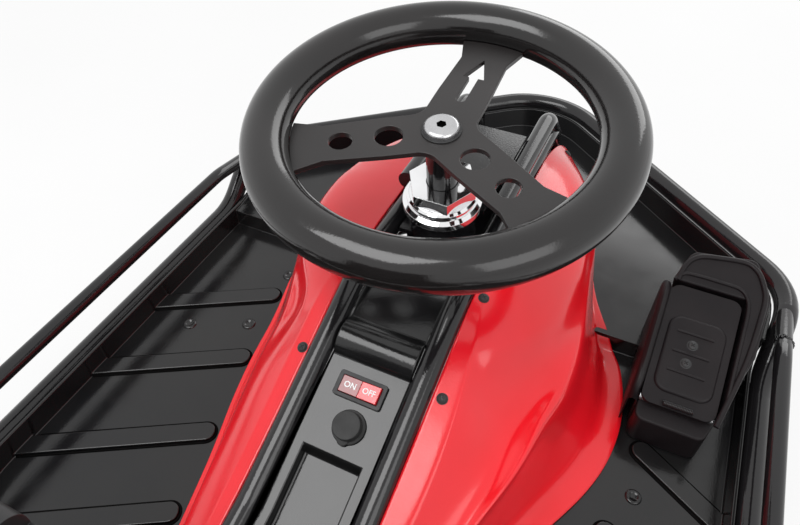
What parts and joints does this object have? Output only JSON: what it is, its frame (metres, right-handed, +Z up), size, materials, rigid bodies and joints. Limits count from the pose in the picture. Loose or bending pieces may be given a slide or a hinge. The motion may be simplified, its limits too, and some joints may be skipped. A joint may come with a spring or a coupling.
{
  "type": "drift kart",
  "caption": "Low ride-on drift kart with a tube frame, a steered drive wheel under its column, rear casters and a bucket seat.",
  "frame": {"origin": "on the floor, below the middle of the overall box", "axes": "+X to the driver's right, +Y forwards to the nose, +Z up"},
  "size_m": [0.565, 0.9109, 0.372],
  "materials": {
    "black_paint": "gloss powder coat",
    "black_moulding": "gloss moulded plastic",
    "red_moulding": "gloss moulded plastic",
    "rim_grip": "smooth moulded grip",
    "plate_paint": "satin powder coat",
    "chrome_plate": "bright plating",
    "zinc_steel": "zinc plated",
    "drive_rubber": "rubber tread",
    "caster_rubber": "smooth rubber",
    "hub_plastic": "matte moulded plastic",
    "seat_plastic": "grained moulded plastic",
    "motor_case": "satin paint",
    "battery_case": "matte moulded plastic",
    "pedal_plastic": "grained moulded plastic",
    "rocker_red": "clear red moulding",
    "cap_rubber": "matte rubber"
  },
  "bodies": {
    "chassis": {"battery": "battery_case", "charge_cap": "cap_rubber", "console": "black_moulding", "deck": "black_paint", "floor_pan": "black_moulding", "frame": "black_paint", "head_hoop_left": "black_paint", "head_hoop_right": "black_paint", "head_tube": "black_paint", "hood_left": "red_moulding", "hood_right": "red_moulding", "kingpin_housing_left": "black_paint", "kingpin_housing_right": "black_paint", "pedal": "pedal_plastic", "pedal_hinge": "zinc_steel", "pedal_pocket": "pedal_plastic", "rocker": "rocker_red", "rocker_bezel": "battery_case", "seat": "seat_plastic", "seat_mount_left": "black_paint", "seat_mount_right": "black_paint", "side_bumper_left": "black_paint", "side_bumper_right": "black_paint", "spine_tube_left": "black_paint", "spine_tube_right": "black_paint"},
    "steering": {"fork": "black_paint", "head_nut": "chrome_plate", "steering_rim": "rim_grip", "steering_plate": "plate_paint", "steering_bolt": "zinc_steel", "drive_axle": "zinc_steel", "chain_guard": "hub_plastic", "motor": "motor_case"},
    "drive_wheel": {"drive_tyre": "drive_rubber", "drive_hub": "hub_plastic"},
    "caster_left": {"caster_fork_left": "zinc_steel", "caster_axle_left": "zinc_steel"},
    "caster_right": {"caster_fork_right": "zinc_steel", "caster_axle_right": "zinc_steel"},
    "caster_wheel_left": {"caster_tyre_left": "caster_rubber", "caster_hub_left": "hub_plastic"},
    "caster_wheel_right": {"caster_tyre_right": "caster_rubber", "caster_hub_right": "hub_plastic"}
  },
  "joints": [
    {"name": "steer", "type": "hinge", "parent": "chassis", "child": "steering", "pos_m": [0, 0.0796, 0.275], "axis": [0, -0.1357, 0.9907], "continuous": true},
    {"name": "drive_roll", "type": "hinge", "parent": "steering", "child": "drive_wheel", "pos_m": [0, 0.107, 0.075], "axis": [1, 0, 0], "continuous": true},
    {"name": "caster_swivel_left", "type": "hinge", "parent": "chassis", "child": "caster_left", "pos_m": [-0.185, -0.38978, 0.03748], "axis": [0, 0.342, 0.9397], "continuous": true},
    {"name": "caster_roll_left", "type": "hinge", "parent": "caster_left", "child": "caster_wheel_left", "pos_m": [-0.185, -0.41046, 0.045], "axis": [1, 0, 0], "continuous": true},
    {"name": "caster_swivel_right", "type": "hinge", "parent": "chassis", "child": "caster_right", "pos_m": [0.185, -0.38978, 0.03748], "axis": [0, 0.342, 0.9397], "continuous": true},
    {"name": "caster_roll_right", "type": "hinge", "parent": "caster_right", "child": "caster_wheel_right", "pos_m": [0.185, -0.41046, 0.045], "axis": [1, 0, 0], "continuous": true}
  ]
}
